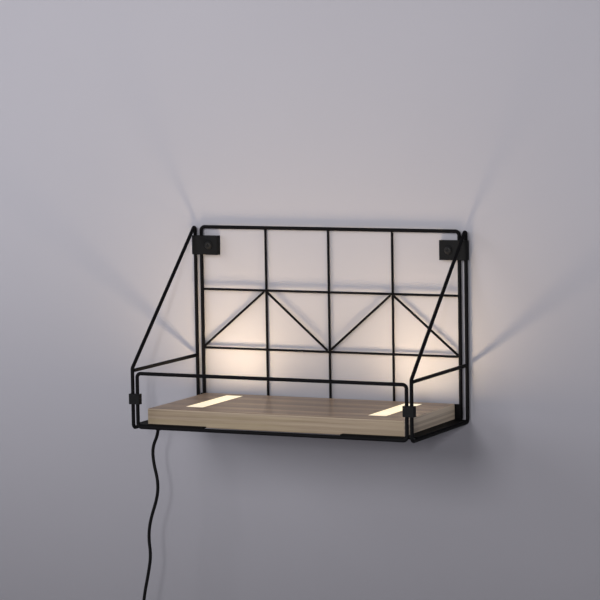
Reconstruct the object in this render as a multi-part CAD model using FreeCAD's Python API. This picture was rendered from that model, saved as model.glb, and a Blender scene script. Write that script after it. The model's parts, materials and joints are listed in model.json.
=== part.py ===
import FreeCAD, Part
import math
import os

V = FreeCAD.Vector

# Wall lamp with a shelf.  Millimetres.  X runs to the viewer's right, Z up, and the room lies
# towards -Y.  The wall is the plane Y = 0.  The origin is midway between the two bracket holes.

# ---- wire stock, gaps -----------------------------------------------------------------------
frame_wire_d = 3.6        # bent wires of the panel, side and front frames
grid_wire_d = 2.4         # straight wires of the panel's grid
corner_bend_r = 4.0       # centre-line radius of the square corners
peak_bend_r = 2.2         # centre-line radius of the folded top of a side frame
shoulder_bend_r = 3.0     # centre-line radius where a side frame starts to rise
weld_gap = 0.05           # left between two wires that are welded
seat_gap = 0.05           # left between a piece and what it lies on
slip_gap = 0.2            # round a piece that drops into its place

# ---- frames ---------------------------------------------------------------------------------
lamp_width = 300.0        # over the side frames
frame_depth = 140.4       # panel wires to front wires, centre to centre
panel_height = 187.8      # top rail to bottom rail, centre to centre
panel_top_z = 18.5        # top rail's centre above the bracket holes
panel_side_gap = 3.3      # clear between the panel frame and a side frame
front_side_gap = 1.5      # clear between the front frame and a side frame
grid_pitch = 69.4         # between the upright grid wires
upper_cross_drop = 63.3   # top rail to the upper crosswire
cross_pitch = 60.0        # upper to lower crosswire
front_frame_height = 53.0
front_frame_lift = 0.8    # front bottom rail above the side frames' bottom wires
side_rail_lift = 2.5      # side rail above the front top rail
side_rail_gap = 0.15      # between a side rail's end and the wire that it meets
shoulder_lift = 2.5       # side frame's shoulder above the side rail
peak_lift = 2.2           # meeting point of the rising wire and the post, above the top rail
wall_gap = 0.3            # grid wires stand this far off the wall

# ---- front clips and wall brackets ----------------------------------------------------------
clip_width = 12.0
clip_depth = 6.2
clip_height = 10.2
clip_above_rail = 27.8    # clip's centre above the front bottom rail
clip_bore_gap = 0.08      # round a wire in its clip
clip_mouth = 2.9          # opening that the wire is snapped through
clip_round = 1.2
bracket_depth = 6.8       # wall to the bracket's face
bracket_height = 19.4
bracket_wall = 0.9        # outside the side post
bracket_lip_gap = 1.6     # between the wall and the lip outside the side post
bracket_hole_inset = 8.2  # hole to the panel wire's groove
bracket_hole_r = 2.3
bracket_end = 9.8         # hole to the bracket's free end
bracket_outer_round = 2.6
bracket_round = 1.0
bracket_gap = 0.1         # between the bracket and the wires that it holds

# ---- shelf ----------------------------------------------------------------------------------
board_rear_gap = 2.375    # clear between the crosswires and the board
board_thick = 16.5
board_front_gap = 6.8     # clear between the front frame's wires and the board
board_side_gap = 9.6      # clear between a side frame's wires and the board's end
board_round = 0.8
plate_thick = 1.4
plate_fold_r = 1.1        # outside radius of the fold
plate_reach = 63.8        # how far a plate goes in under the board
plate_front_inset = 0.4   # overhang's front behind the board's front
plate_wire_gap = 0.2      # between the plate's tongue and the front frame's wire
plate_tongue_gap = 0.8    # tongue stops this far inside the side frame's wires
plate_post_gap = 4.5      # overhang stops this far short of the panel wires' front
upstand_end_gap = 1.7     # upstand reaches this far past the panel frame's wire centre
upstand_drop = 0.4        # upstand's top below the board's top
plate_screw_r = 1.4
plate_screw_head_r = 2.6
plate_screw_head_h = 1.1
plate_screw_length = 11.0
plate_screw_tip_r = 0.3
plate_screw_inset_x = 6.0   # from the plate's inner edge
plate_screw_edge_x = 10.0   # from the board's end
plate_screw_front_y = 34.5  # from the board's front
plate_screw_rear_y = 16.5   # from the board's rear
pilot_gap = 0.05

# ---- lights ---------------------------------------------------------------------------------
slot_end_inset = 38.8     # slot's centre to the board's end
slot_width = 19.0
slot_length = 91.0
slot_rear_margin = 11.6   # slot to the board's rear edge
slot_depth = 6.5          # narrow part of the slot
slot_corner_r = 1.5
pocket_corner_r = 3.0
pocket_margin = 3.2       # pocket is wider than its slot by this, each side
diffuser_wall = 2.0
diffuser_flange = 2.4     # flange stands out by this, each side
diffuser_sink = 0.15      # diffuser's face below the board's face
led_board_side_gap = 0.5  # LED board is narrower than its slot by this, each side
led_board_end_gap = 1.5   # and shorter by this, each end
led_board_thick = 1.6
led_count = 10
led_width = 3.5
led_length = 2.8
led_height = 0.8

# ---- leads inside the shelf -----------------------------------------------------------------
link_lead_d = 2.2
link_groove_width = 5.0
link_groove_depth = 5.0
cover_thick = 1.0
cord_d = 3.2
inlet_side_inset = 4.3    # the cord's hole to the board's left end
inlet_front_inset = 13.525  # the cord's hole to the board's front
cord_bore_gap = 0.1       # round the cord in its bushing and collars
inlet_bend_r = 3.2        # sharp turn of the lead behind its bushing
inlet_groove_width = 5.0
inlet_groove_depth = 7.2
lead_above_plate = 3.6    # centre of the inner lead above the plate's top
lead_on_board = 2.0       # inner lead's reach over the left LED board
bushing_neck_r = 3.0
bushing_flange_r = 4.5
bushing_flange_h = 1.2
bushing_tip_r = 2.3
bushing_tip_h = 5.5
bushing_lip_h = 0.5

# ---- cord, switch, coil and power plug ------------------------------------------------------
# upper cord from its bushing to the switch, chosen by hand, counted from the place where it starts
cord_points = [
    (0.0, 0.0, 0.0),
    (0.0, 0.0, -9.5),
    (-6.4, -1.2, -23.5),
    (-5.1, -2.2, -38.5),
    (0.2, -3.4, -56.5),
    (-0.2, -4.2, -72.5),
    (-8.4, -5.5, -96.5),
    (-10.1, -6.4, -113.5),
    (-7.2, -7.6, -130.5),
    (-9.5, -8.8, -147.5),
    (-14.5, -10.0, -171.5),
    (-15.5, -10.4, -185.5),
    (-15.5, -10.4, -197.5),
]
switch_width = 21.0
switch_length = 50.0
switch_thick = 15.0
switch_wall = 1.6
switch_round = 2.5
switch_rim_r = 0.8
cord_in_switch = 4.0      # cord's reach past the switch's end face
switch_post_width = 6.0   # square posts that the screws run through
switch_post_gap = 0.6     # between a post and the cord's end
switch_screw_r = 0.9
switch_screw_head_r = 1.8
switch_screw_head_h = 1.2
switch_screw_bite = 3.0   # screw's reach into the front half
rocker_width = 9.6
rocker_length = 19.6
rocker_stand_out = 1.6    # its two ends in front of the switch's face, when level
rocker_dish = 1.2         # its middle behind its two ends
rocker_side_depth = 2.2   # its side walls behind the switch's face
rocker_back_depth = 4.2
rocker_rib_width = 5.2
rocker_window_gap_x = 0.6
rocker_window_gap_z = 1.1
rocker_tilt = 7.0         # degrees to each side of level
rocker_pivot_depth = 2.6  # pivot behind the switch's front face
rocker_pivot_r = 1.0
rocker_pivot_gap = 0.1
rocker_pivot_reach = 1.3  # stub into each cheek
cheek_thick = 1.6
cheek_gap = 0.3
cheek_height = 6.0
contact_length = 16.0
contact_width = 4.0
contact_thick = 0.6
contact_height = 3.4
contact_spacing = 2.4
relief_length = 7.0
relief_base_r = 4.0
relief_tip_r = 2.5
relief_neck_r = 2.8
coil_turns = 11
coil_layers = 4
coil_mid_r = 17.5         # mean radius of the turns
coil_pitch = 3.65         # turn to turn, and layer to layer
coil_below_switch = 30.0  # coil's centre below the switch's end face
tie_thick = 1.2
tie_height = 8.0
tie_gap = 0.3
tie_round = 2.0
adapter_width = 34.0
adapter_depth = 26.0
adapter_length = 54.0
adapter_wall = 2.0
adapter_round = 4.0
adapter_rim_r = 1.6
adapter_below_coil = 37.0  # adapter's top face below the coil's centre
cord_in_adapter = 4.0     # cord's reach past the adapter's end face
pin_spacing = 18.6
pin_r = 2.0
pin_tip_round = 1.0
pin_shank_r = 1.3         # inside the sleeve
pin_length = 19.0
sleeve_r = 1.9
sleeve_length = 10.0
pin_root = 4.0            # pin's reach inside the shell
power_board_thick = 1.6
power_board_length = 38.0
power_board_offset = 2.0  # board behind the middle of the case
transformer_size = 15.0
transformer_height = 9.5
transformer_round = 1.0
capacitor_r = 4.0
capacitor_height = 9.0
component_gap = 4.0       # between the board's low edge, the transformer and the capacitor

# ---- derived places -------------------------------------------------------------------------
frame_r = frame_wire_d / 2
grid_r = grid_wire_d / 2
upright_y = -(wall_gap + grid_r)
cross_y = upright_y - grid_wire_d - weld_gap
panel_y = (upright_y + cross_y) / 2
front_y = panel_y - frame_depth
side_x = lamp_width / 2 - frame_r
panel_x = side_x - frame_wire_d - panel_side_gap
front_x = side_x - frame_wire_d - front_side_gap
bottom_wire_z = panel_top_z - panel_height
upper_cross_z = panel_top_z - upper_cross_drop
lower_cross_z = upper_cross_z - cross_pitch
front_bottom_z = bottom_wire_z + front_frame_lift
front_top_z = front_bottom_z + front_frame_height
side_rail_z = front_top_z + side_rail_lift
shoulder_z = side_rail_z + shoulder_lift
peak_z = panel_top_z + peak_lift

plate_bottom_z = bottom_wire_z + frame_r + seat_gap
plate_top_z = plate_bottom_z + plate_thick
board_bottom_z = plate_bottom_z
board_top_z = board_bottom_z + board_thick
board_front_y = front_y + frame_r + board_front_gap
board_rear_y = cross_y - grid_r - board_rear_gap
board_end_x = side_x - frame_r - board_side_gap
plate_inner_x = board_end_x - plate_reach
plate_outer_x = side_x + frame_r
plate_front_y = board_front_y + plate_front_inset
tongue_front_y = front_y + frame_r + plate_wire_gap
tongue_outer_x = side_x - frame_r - plate_tongue_gap
upstand_y = board_rear_y + seat_gap

slot_x = board_end_x - slot_end_inset
slot_y = board_rear_y - slot_rear_margin - slot_length / 2
pocket_width = slot_width + 2 * pocket_margin
pocket_length = slot_length + 2 * pocket_margin
slot_floor_z = board_top_z - slot_depth
led_board_width = slot_width - 2 * led_board_side_gap
led_board_length = slot_length - 2 * led_board_end_gap
led_board_z = plate_top_z + seat_gap
led_board_top_z = led_board_z + led_board_thick
cord_r = cord_d / 2
cord_bore_r = cord_r + cord_bore_gap
inner_lead_z = plate_top_z + lead_above_plate
inlet_x = inlet_side_inset - board_end_x
inlet_y = board_front_y + inlet_front_inset
inlet = V(inlet_x, inlet_y, plate_bottom_z - seat_gap)

switch_entry = inlet + V(*cord_points[-1])
line_x, line_y = switch_entry.x, switch_entry.y
switch_top_z = switch_entry.z + cord_in_switch
switch_bottom_z = switch_top_z - switch_length
switch_z = (switch_top_z + switch_bottom_z) / 2
switch_screw_inset = cord_in_switch + switch_post_gap + switch_post_width / 2
switch_front_y = line_y - switch_thick / 2
switch_back_y = line_y + switch_thick / 2
coil_swing = coil_turns / coil_layers * coil_pitch / 2
coil_outer_r = coil_mid_r + coil_swing
coil_inner_r = coil_mid_r - coil_swing
coil_x = line_x + coil_outer_r
coil_z = switch_bottom_z - coil_below_switch
tail_y = line_y + (coil_layers - 1) * coil_pitch
adapter_top_z = coil_z - adapter_below_coil
adapter_bottom_z = adapter_top_z - adapter_length
adapter_z = (adapter_top_z + adapter_bottom_z) / 2
adapter_front_y = tail_y - adapter_depth / 2
adapter_back_y = tail_y + adapter_depth / 2
power_board_y = tail_y + power_board_offset
transformer_z = adapter_bottom_z + adapter_wall + component_gap + transformer_size / 2
capacitor_z = transformer_z + transformer_size / 2 + component_gap + capacitor_r


# ---- helpers --------------------------------------------------------------------------------
def box(x0, x1, y0, y1, z0, z1):
    """A block between two corners, given in either order."""
    low = V(min(x0, x1), min(y0, y1), min(z0, z1))
    high = V(max(x0, x1), max(y0, y1), max(z0, z1))
    size = high - low
    return Part.makeBox(size.x, size.y, size.z, low)


def rounded_box(x0, x1, y0, y1, z0, z1, radius, axis):
    """A block whose four edges along the axis are rounded."""
    block = box(x0, x1, y0, y1, z0, z1)
    edges = [e for e in block.Edges if abs(e.tangentAt(e.FirstParameter).dot(axis)) > 0.999]
    return block.makeFillet(radius, edges)


def disc(centre, direction, radius):
    return Part.Face(Part.Wire(Part.makeCircle(radius, centre, direction)))


def bent_rod(points, radius, bends, closed=False):
    """A round bar along straight runs, with a bend of the given centre-line radius at each corner."""
    count = len(points)
    corners = range(count) if closed else range(1, count - 1)
    leave = list(points)
    arrive = list(points)
    pieces = []
    for i in corners:
        here = points[i]
        inward = (here - points[i - 1]).normalize()
        outward = (points[(i + 1) % count] - here).normalize()
        turn = inward.getAngle(outward)
        back = bends[i] * math.tan(turn / 2)
        arrive[i] = here - inward * back
        leave[i] = here + outward * back
        axis = inward.cross(outward).normalize()
        centre = arrive[i] + axis.cross(inward) * bends[i]
        pieces.append(disc(arrive[i], inward, radius).revolve(centre, axis, math.degrees(turn)))
    for i in range(count if closed else count - 1):
        run = arrive[(i + 1) % count] - leave[i]
        pieces.append(Part.makeCylinder(radius, run.Length, leave[i], run))
    return pieces[0].multiFuse(pieces[1:]).removeSplitter().Solids[0]


def straight_rod(start, end, radius):
    run = end - start
    return Part.makeCylinder(radius, run.Length, start, run)


def turned(profile, centre_x, centre_y):
    """A solid turned about an upright axis, from its (radius, height) outline."""
    points = [V(r, 0, z) for r, z in profile]
    face = Part.Face(Part.makePolygon(points + points[:1]))
    solid = face.revolve(V(0, 0, 0), V(0, 0, 1), 360)
    solid.translate(V(centre_x, centre_y, 0))
    return solid


def mirrored(shape):
    return shape.mirror(V(0, 0, 0), V(1, 0, 0))


def save(node, shape):
    solids = shape.Solids
    for solid in solids:
        if not solid.isValid():
            print("not valid:", node)
    if len(solids) == 1:
        shape = solids[0]
    shape.exportStep("parts/" + node + ".step")


def save_pair(node, right_shape):
    save(node + "_right", right_shape)
    save(node + "_left", mirrored(right_shape))


def swept(edges, radius, start, direction):
    """A round tube along a path of line and arc edges."""
    path = Part.Wire(edges)
    ring = Part.Wire(Part.makeCircle(radius, start, direction))
    tube = path.makePipeShell([ring], True, False)
    return Part.Solid(tube) if tube.ShapeType != "Solid" else tube


def cord_tube(name, points, radius):
    """A tube along straight runs joined by tangent arcs as large as the runs allow."""
    edges = []
    radii = []
    here = points[0]
    for before, corner, after in zip(points, points[1:], points[2:]):
        inward = corner - before
        outward = after - corner
        shorter = min(inward.Length, outward.Length)
        turn = inward.getAngle(outward)
        back = 0.45 * shorter
        radii.append(back / math.tan(turn / 2))
        start = corner - inward.normalize() * back
        end = corner + outward.normalize() * back
        edges.append(Part.LineSegment(here, start).toShape())
        edges.append(tangent_arc(start, corner, end))
        here = end
    edges.append(Part.LineSegment(here, points[-1]).toShape())
    tube = swept(edges, radius, points[0], points[1] - points[0])
    length = sum(e.Length for e in edges)
    smallest = round(min(radii), 1) if radii else "none, it is straight"
    ratio = tube.Volume / (math.pi * radius ** 2 * length)
    print(name, "length", round(length, 1), "least radius", smallest, "volume ratio", round(ratio, 5))
    return tube


def tangent_arc(start, corner, end):
    """The arc from start to end that is tangent to the two equal legs that meet at the corner."""
    middle = (start + end) * 0.5
    rise = (corner - middle).Length
    if rise < 1e-6:
        return Part.LineSegment(start, end).toShape()
    half = (end - start).Length / 2
    radius = half * (corner - start).Length / rise
    sagitta = radius - math.sqrt(max(radius ** 2 - half ** 2, 0))
    top = middle + (corner - middle) * (sagitta / rise)
    return Part.Arc(start, top, end).toShape()


# ---- wire frames ----------------------------------------------------------------------------
def rectangle_loop(half_width, y, low_z, high_z):
    corners = [V(-half_width, y, low_z), V(half_width, y, low_z),
               V(half_width, y, high_z), V(-half_width, y, high_z)]
    return bent_rod(corners, frame_r, [corner_bend_r] * 4, closed=True)


def side_frame():
    """One bent loop: up the front, back and up to the peak, down the wall, forward along the bottom."""
    corners = [V(side_x, front_y, bottom_wire_z), V(side_x, front_y, shoulder_z),
               V(side_x, panel_y, peak_z), V(side_x, panel_y, bottom_wire_z)]
    bends = [corner_bend_r, shoulder_bend_r, peak_bend_r, corner_bend_r]
    return bent_rod(corners, frame_r, bends, closed=True)


def side_rail():
    inset = frame_r + side_rail_gap
    front = V(side_x, front_y + inset, side_rail_z)
    rear = V(side_x, panel_y - inset, side_rail_z)
    return straight_rod(front, rear, frame_r)


def grid_upright(x):
    inset = frame_r + weld_gap
    return straight_rod(V(x, upright_y, bottom_wire_z + inset), V(x, upright_y, panel_top_z - inset), grid_r)


def grid_crosswire(z):
    reach = panel_x - frame_r - weld_gap
    return straight_rod(V(-reach, cross_y, z), V(reach, cross_y, z), grid_r)


def grid_brace(x_low, x_high):
    """A slanting wire from the lower crosswire at x_low to the upper one at x_high, cut to fit its cell."""
    low = V(x_low, cross_y, lower_cross_z + grid_r)
    high = V(x_high, cross_y, upper_cross_z - grid_r)
    run = (high - low).normalize() * (2 * frame_wire_d)
    rod = straight_rod(low - run, high + run, grid_r)
    cut = grid_r + weld_gap
    cell = box(x_low, x_high, cross_y - grid_wire_d, cross_y + grid_wire_d,
               lower_cross_z + cut, upper_cross_z - cut)
    return rod.common(cell)


# ---- clips and brackets ---------------------------------------------------------------------
def front_clip():
    """A snap clip round the front frame's upright and the side frame's upright."""
    middle_x = (front_x + side_x) / 2
    z = front_bottom_z + clip_above_rail
    half = clip_height / 2
    body = rounded_box(middle_x - clip_width / 2, middle_x + clip_width / 2, front_y - clip_depth / 2,
                       front_y + clip_depth / 2, z - half, z + half, clip_round, V(0, 0, 1))
    for x in (front_x, side_x):
        bore = Part.makeCylinder(frame_r + clip_bore_gap, clip_height, V(x, front_y, z - half))
        mouth = box(x - clip_mouth / 2, x + clip_mouth / 2, front_y, front_y + clip_depth,
                    z - half, z + half)
        body = body.cut(bore).cut(mouth)
    return body


def wall_bracket():
    """A block screwed to the wall, with a groove behind it for the panel wire and one for the side post."""
    half = bracket_height / 2
    groove_r = frame_r + bracket_gap
    hole_x = panel_x - groove_r - bracket_hole_inset
    inner_x = hole_x - bracket_end
    outer_x = side_x + groove_r + bracket_wall
    block = box(inner_x, outer_x, -bracket_depth, 0, -half, half)
    block = round_edge_at(block, outer_x, bracket_outer_round)
    block = round_edge_at(block, inner_x, bracket_round)
    for x in (panel_x, side_x):
        groove = box(x - groove_r, x + groove_r, panel_y, 1, -half, half)
        block = block.cut(groove).cut(Part.makeCylinder(groove_r, 2 * half, V(x, panel_y, -half)))
    block = block.cut(box(side_x, outer_x + 1, -bracket_lip_gap, 1, -half, half))
    hole = Part.makeCylinder(bracket_hole_r, bracket_depth, V(hole_x, -bracket_depth, 0), V(0, 1, 0))
    return block.cut(hole).removeSplitter()


def round_edge_at(block, x, radius):
    """Rounds a bracket block's upright front edge at x."""
    edges = [e for e in block.Edges if e.CenterOfMass.distanceToPoint(V(x, -bracket_depth, 0)) < 1e-6]
    return block.makeFillet(radius, edges)


# ---- shelf ----------------------------------------------------------------------------------
def plate_screw_places():
    """Screw centres of the right-hand plate."""
    columns = (plate_inner_x + plate_screw_inset_x, board_end_x - plate_screw_edge_x)
    rows = (board_front_y + plate_screw_front_y, board_rear_y - plate_screw_rear_y)
    return [(x, y) for x in columns for y in rows]


def end_plate():
    """Sheet under one end of the board, out over the side frame's wire, and turned up behind the board.

    A tongue runs forward from it to the front frame's wire."""
    rear_y = upstand_y + plate_thick
    inner_corner = panel_x + upstand_end_gap
    post_y = panel_y - frame_r - plate_post_gap
    sheet = box(plate_inner_x, inner_corner, plate_front_y, rear_y, plate_bottom_z, plate_top_z)
    sheet = sheet.fuse(box(inner_corner, plate_outer_x, plate_front_y, post_y, plate_bottom_z, plate_top_z))
    sheet = sheet.fuse(box(plate_inner_x, tongue_outer_x, tongue_front_y, plate_front_y, plate_bottom_z, plate_top_z))
    upstand = box(plate_inner_x, inner_corner, upstand_y, rear_y, plate_bottom_z, board_top_z - upstand_drop)
    plate = sheet.fuse(upstand).removeSplitter()
    fold = [e for e in plate.Edges if abs(e.CenterOfMass.z - plate_bottom_z) < 1e-6
            and abs(e.CenterOfMass.y - rear_y) < 1e-6 and e.Length > 1]
    plate = plate.makeFillet(plate_fold_r, fold)
    for x, y in plate_screw_places():
        plate = plate.cut(screw_shape(x, y, pilot_gap))
    return plate


def cord_hole():
    return Part.makeCylinder(bushing_neck_r + seat_gap, 3 * plate_thick,
                             V(inlet_x, inlet_y, plate_bottom_z - plate_thick))


def screw_shape(x, y, gap):
    """A countersunk screw driven up from the plate's underside."""
    shank_r = plate_screw_r + gap
    head_r = plate_screw_head_r + gap
    base = plate_bottom_z
    neck = base + plate_screw_head_h + gap
    tip = base + plate_screw_length + gap
    taper = tip - plate_screw_r
    profile = [(0, base), (head_r, base), (shank_r, neck), (shank_r, taper),
               (plate_screw_tip_r, tip), (0, tip)]
    return turned(profile, x, y)


def light_cavity(side):
    """The through slot of one light with the wider pocket under it."""
    x = side * slot_x
    half_w, half_l = slot_width / 2, slot_length / 2
    slot = rounded_box(x - half_w, x + half_w, slot_y - half_l, slot_y + half_l,
                       board_bottom_z - 1, board_top_z + 1, slot_corner_r, V(0, 0, 1))
    half_w, half_l = pocket_width / 2, pocket_length / 2
    pocket = rounded_box(x - half_w, x + half_w, slot_y - half_l, slot_y + half_l,
                         board_bottom_z - 1, slot_floor_z, pocket_corner_r, V(0, 0, 1))
    return slot.fuse(pocket)


def shelf_board():
    board = box(-board_end_x, board_end_x, board_front_y, board_rear_y, board_bottom_z, board_top_z)
    board = board.makeFillet(board_round, board.Edges)
    for side in (-1, 1):
        board = board.cut(box(side * (plate_inner_x - slip_gap), side * (board_end_x + 1), board_front_y - 1,
                              board_rear_y + 1, board_bottom_z - 1, plate_top_z + seat_gap))
        board = board.cut(light_cavity(side))
        for x, y in plate_screw_places():
            board = board.cut(screw_shape(side * x, y, pilot_gap))
    link = box(-slot_x, slot_x, slot_y - link_groove_width / 2, slot_y + link_groove_width / 2,
               board_bottom_z - 1, board_bottom_z + link_groove_depth)
    half = inlet_groove_width / 2
    top = board_bottom_z + inlet_groove_depth
    along = box(inlet_x - half, -slot_x + half, inlet_y - half, inlet_y + half, board_bottom_z - 1, top)
    across = box(-slot_x - half, -slot_x + half, inlet_y - half, slot_y, board_bottom_z - 1, top)
    well = Part.makeCylinder(bushing_neck_r + slip_gap, inlet_groove_depth + 1,
                             V(inlet_x, inlet_y, board_bottom_z - 1))
    return board.cut(link).cut(along).cut(across).cut(well)


def diffuser():
    """An opal cap: its face closes the slot and its flange bears against the pocket's roof."""
    half_w = slot_width / 2 - slip_gap
    half_l = slot_length / 2 - slip_gap
    top = board_top_z - diffuser_sink
    floor = slot_floor_z - seat_gap
    cap = rounded_box(slot_x - half_w, slot_x + half_w, slot_y - half_l, slot_y + half_l,
                      floor, top, slot_corner_r, V(0, 0, 1))
    out_w, out_l = half_w + diffuser_flange, half_l + diffuser_flange
    flange = rounded_box(slot_x - out_w, slot_x + out_w, slot_y - out_l, slot_y + out_l,
                         floor - diffuser_wall, floor, slot_corner_r, V(0, 0, 1))
    in_w, in_l = half_w - diffuser_wall, half_l - diffuser_wall
    hollow = box(slot_x - in_w, slot_x + in_w, slot_y - in_l, slot_y + in_l,
                 floor - 2 * diffuser_wall, top - diffuser_wall)
    return cap.fuse(flange).cut(hollow).removeSplitter()


def led_board():
    return box(slot_x - led_board_width / 2, slot_x + led_board_width / 2, slot_y - led_board_length / 2,
               slot_y + led_board_length / 2, led_board_z, led_board_top_z)


def led_chips():
    pitch = led_board_length / led_count
    first = slot_y - pitch * (led_count - 1) / 2
    chips = []
    for i in range(led_count):
        y = first + i * pitch
        chips.append(box(slot_x - led_width / 2, slot_x + led_width / 2, y - led_length / 2,
                         y + led_length / 2, led_board_top_z, led_board_top_z + led_height))
    return Part.makeCompound(chips)


def link_lead():
    """Lead from one LED board to the other, in its groove under the board."""
    reach = slot_x - led_board_width / 2 - seat_gap
    z = plate_top_z + seat_gap + link_lead_d / 2
    return straight_rod(V(-reach, slot_y, z), V(reach, slot_y, z), link_lead_d / 2)


def groove_cover():
    reach = plate_inner_x - slip_gap
    half = link_groove_width / 2 - seat_gap
    return box(-reach, reach, slot_y - half, slot_y + half, board_bottom_z, board_bottom_z + cover_thick)


def cord_bushing():
    """Soft bushing pushed through the left plate; the cord leaves through its tapered tip."""
    lip_z = plate_top_z + seat_gap
    under = plate_bottom_z - seat_gap
    flange_z = under - bushing_flange_h
    tip_z = flange_z - bushing_tip_h
    profile = [(cord_bore_r, lip_z + bushing_lip_h), (bushing_neck_r, lip_z + bushing_lip_h),
               (bushing_neck_r, under), (bushing_flange_r, under), (bushing_flange_r, flange_z),
               (bushing_neck_r, flange_z), (bushing_tip_r, tip_z), (cord_bore_r, tip_z)]
    return turned(profile, inlet_x, inlet_y)


def inner_lead():
    """The cord's end inside the shelf, from the bushing along its groove to the left LED board."""
    end_y = slot_y - led_board_length / 2 + lead_on_board
    corners = [inlet, V(inlet_x, inlet_y, inner_lead_z), V(-slot_x, inlet_y, inner_lead_z),
               V(-slot_x, end_y, inner_lead_z)]
    return bent_rod(corners, cord_r, [0, inlet_bend_r, corner_bend_r, 0])


# ---- switch ---------------------------------------------------------------------------------
def half_case(width, front_face_y, back_face_y, low_z, high_z, wall, corner_r, rim_r, front):
    """One half of a hollow case on the cord's line, split across the middle of its depth."""
    half_w = width / 2
    outer_y = front_face_y if front else back_face_y
    inward = 1 if front else -1
    seam_y = (front_face_y + back_face_y) / 2 - inward * seat_gap / 2
    case = rounded_box(line_x - half_w, line_x + half_w, front_face_y, back_face_y, low_z, high_z,
                       corner_r, V(0, 1, 0))
    rim = [e for e in case.Edges if e.BoundBox.YLength < 1e-6 and abs(e.BoundBox.YMin - outer_y) < 1e-6]
    case = case.makeFillet(rim_r, rim)
    hollow = box(line_x - half_w + wall, line_x + half_w - wall, front_face_y + wall, back_face_y - wall,
                 low_z + wall, high_z - wall)
    half = box(line_x - width, line_x + width, outer_y - inward, seam_y, low_z - 1, high_z + 1)
    return case.cut(hollow).common(half)


def collar_hole(y, low_z, high_z):
    """The hole that a collar's neck sits in."""
    return Part.makeCylinder(relief_neck_r + seat_gap, high_z - low_z, V(line_x, y, low_z))


def switch_shell(front):
    """Half of the switch's case; the front half has the rocker's window and its two pivot cheeks."""
    outer_y = switch_front_y if front else switch_back_y
    inward = 1 if front else -1
    seam_y = line_y - inward * seat_gap / 2
    shell = half_case(switch_width, switch_front_y, switch_back_y, switch_bottom_z, switch_top_z,
                      switch_wall, switch_round, switch_rim_r, front)
    shell = shell.cut(collar_hole(line_y, switch_bottom_z - 1, switch_top_z + 1))
    half_post = switch_post_width / 2
    for z in switch_screw_heights():
        post = box(line_x - half_post, line_x + half_post, seam_y, outer_y + inward * switch_wall / 2,
                   z - half_post, z + half_post)
        shell = shell.fuse(post).cut(switch_screw(z, pilot_gap))
    if not front:
        return shell.removeSplitter()
    half_w = rocker_width / 2 + rocker_window_gap_x
    half_l = rocker_length / 2 + rocker_window_gap_z
    shell = shell.cut(box(line_x - half_w, line_x + half_w, switch_front_y - 1,
                          switch_front_y + 2 * switch_wall, switch_z - half_l, switch_z + half_l))
    for side in (-1, 1):
        near = line_x + side * (rocker_width / 2 + cheek_gap)
        shell = shell.fuse(box(near, near + side * cheek_thick, switch_front_y + switch_wall / 2, seam_y,
                               switch_z - cheek_height / 2, switch_z + cheek_height / 2))
    reach = rocker_width / 2 + cheek_gap + cheek_thick
    return shell.cut(rocker_axle(rocker_pivot_r + rocker_pivot_gap, reach)).removeSplitter()


def rocker_axle(radius, reach):
    axle_y = switch_front_y + rocker_pivot_depth
    return straight_rod(V(line_x - reach, axle_y, switch_z), V(line_x + reach, axle_y, switch_z), radius)


def switch_screw_heights():
    return (switch_top_z - switch_screw_inset, switch_bottom_z + switch_screw_inset)


def switch_screw(z, gap):
    """A small screw driven from the back of the switch into its front half, beyond the cord's end."""
    head_y = switch_back_y - switch_screw_head_h - gap
    tip_y = line_y - switch_screw_bite - gap
    head = straight_rod(V(line_x, head_y, z), V(line_x, switch_back_y, z), switch_screw_head_r + gap)
    shank = straight_rod(V(line_x, tip_y, z), V(line_x, head_y, z), switch_screw_r + gap)
    return head.fuse(shank).removeSplitter()


def switch_rocker():
    """The rocker, tipped to its ON side; two stubs turn in the cheeks."""
    half_l = rocker_length / 2
    half_w = rocker_width / 2
    rib = rocker_rib_width / 2
    front = switch_front_y - rocker_stand_out
    side = switch_front_y + rocker_side_depth
    back = switch_front_y + rocker_back_depth
    outline = [(front, -half_l), (front + rocker_dish, 0), (front, half_l), (side, half_l),
               (back, rib), (back, -rib), (side, -half_l)]
    points = [V(line_x - half_w, y, switch_z + z) for y, z in outline]
    body = Part.Face(Part.makePolygon(points + points[:1])).extrude(V(rocker_width, 0, 0))
    rocker = body.fuse(rocker_axle(rocker_pivot_r, half_w + rocker_pivot_reach)).removeSplitter()
    rocker.rotate(V(line_x, switch_front_y + rocker_pivot_depth, switch_z), V(1, 0, 0), -rocker_tilt)
    return rocker


def switch_contacts():
    """Two brass strips that lie on the floor of the back shell, one each side of the middle."""
    floor_y = switch_back_y - switch_wall - seat_gap
    low = switch_z - contact_length / 2
    strips = []
    for side in (-1, 1):
        near = line_x + side * contact_spacing / 2
        far = near + side * contact_width
        foot = box(near, far, floor_y - contact_thick, floor_y, low, low + contact_length)
        blade = box(near, far, floor_y - contact_height, floor_y - contact_thick, low, low + contact_thick)
        strips.append(foot.fuse(blade).removeSplitter())
    return Part.makeCompound(strips)


def relief(face_z, outward, y, neck_depth):
    """A tapered soft collar on the cord; outward is +1 when it points up and -1 when it points down."""
    neck_z = face_z - outward * neck_depth
    base_z = face_z + outward * seat_gap
    tip_z = base_z + outward * relief_length
    profile = [(cord_bore_r, neck_z), (relief_neck_r, neck_z), (relief_neck_r, base_z),
               (relief_base_r, base_z), (relief_tip_r, tip_z), (cord_bore_r, tip_z)]
    return turned(profile, line_x, y)


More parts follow.
